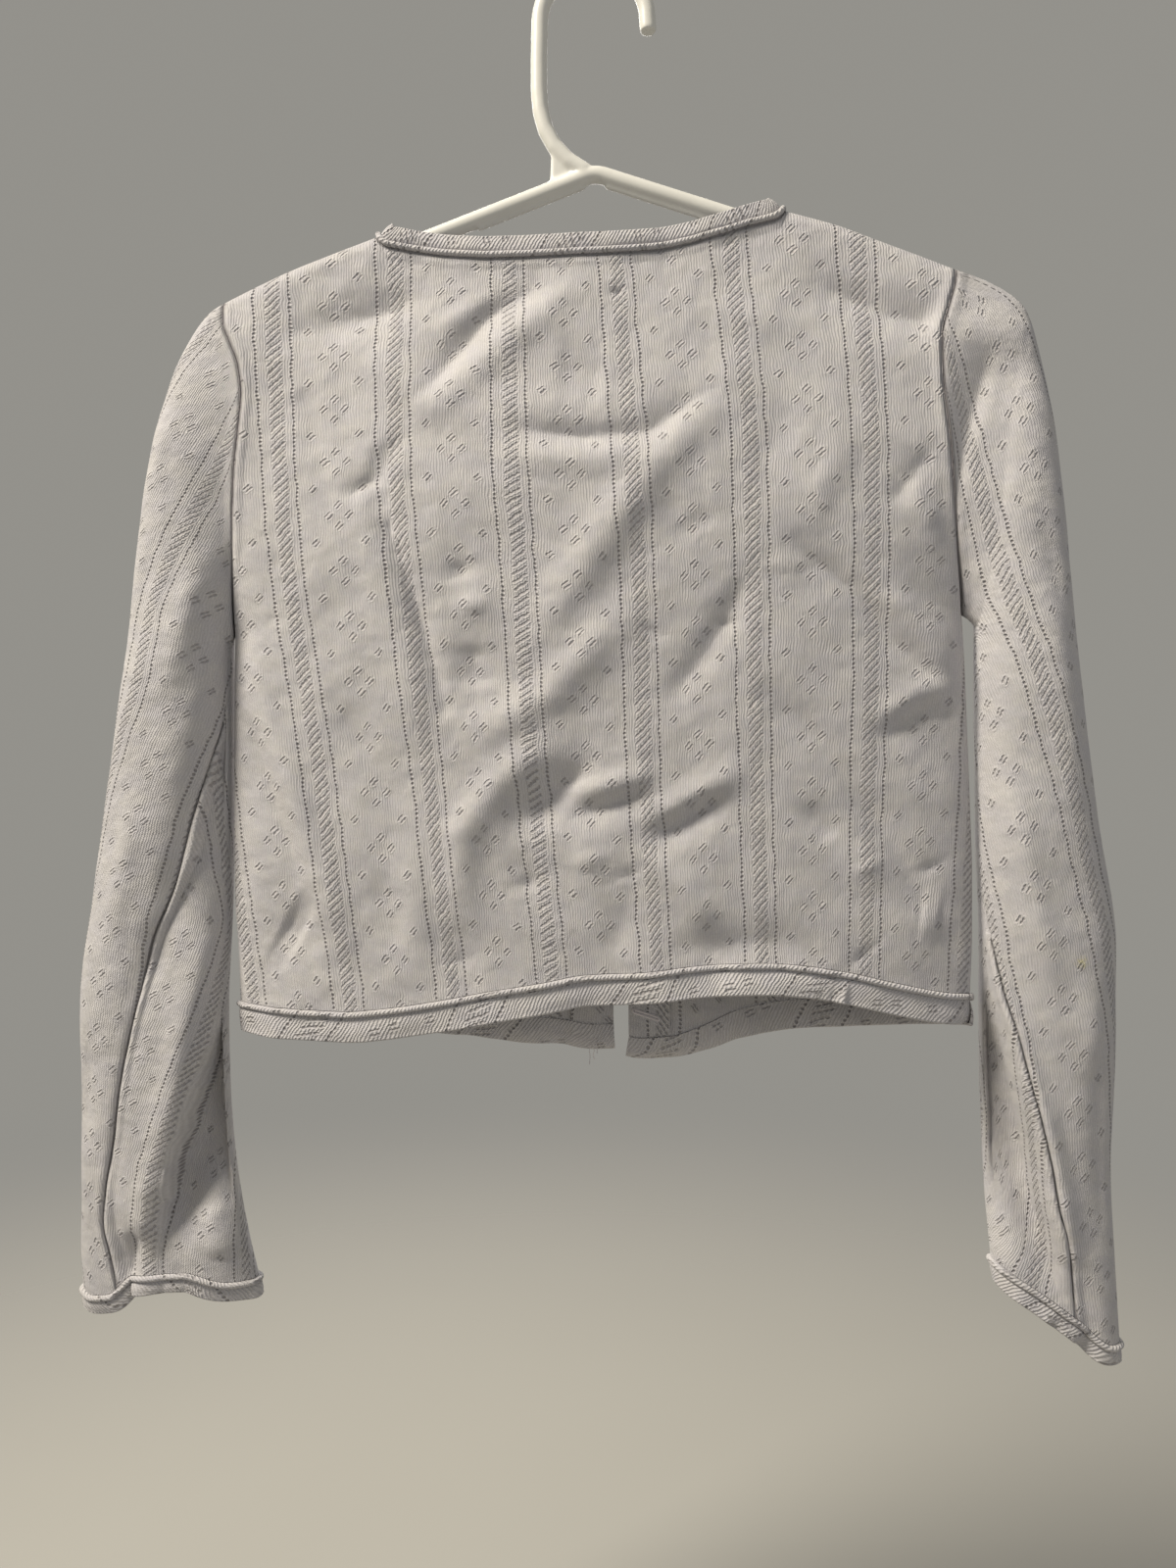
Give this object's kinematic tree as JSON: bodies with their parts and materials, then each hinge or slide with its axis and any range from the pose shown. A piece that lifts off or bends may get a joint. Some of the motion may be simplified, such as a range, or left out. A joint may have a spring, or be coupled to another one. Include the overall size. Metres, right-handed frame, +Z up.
{
  "type": "cropped cardigan on a tube hanger",
  "caption": "Cropped long-sleeve round-neck cardigan in pale ribbed pointelle knit, hanging on a white plastic tube hanger with an open hook.",
  "frame": {"origin": "the inner top of the hanger's hook, where a rail carries it, in the hanger's middle plane", "axes": "+Z up; +Y out of the cardigan's back; -Y out of its front; +X the wearer's left"},
  "size_m": [0.5416, 0.0641, 0.7193],
  "materials": {
    "pointelle_knit": "matt",
    "bias_knit": "matt",
    "button_plastic": "satin",
    "hanger_plastic": "satin"
  },
  "bodies": {
    "root": {"back": "pointelle_knit", "front_left": "pointelle_knit", "front_right": "pointelle_knit", "sleeve_left": "pointelle_knit", "sleeve_right": "pointelle_knit", "facing_left": "pointelle_knit", "facing_right": "pointelle_knit", "neck_binding": "bias_knit", "hem_binding": "bias_knit", "cuff_binding_left": "bias_knit", "cuff_binding_right": "bias_knit", "hanger": "hanger_plastic", "button_1": "button_plastic", "button_2": "button_plastic", "button_3": "button_plastic", "button_4": "button_plastic", "button_5": "button_plastic", "button_6": "button_plastic"}
  },
  "joints": []
}
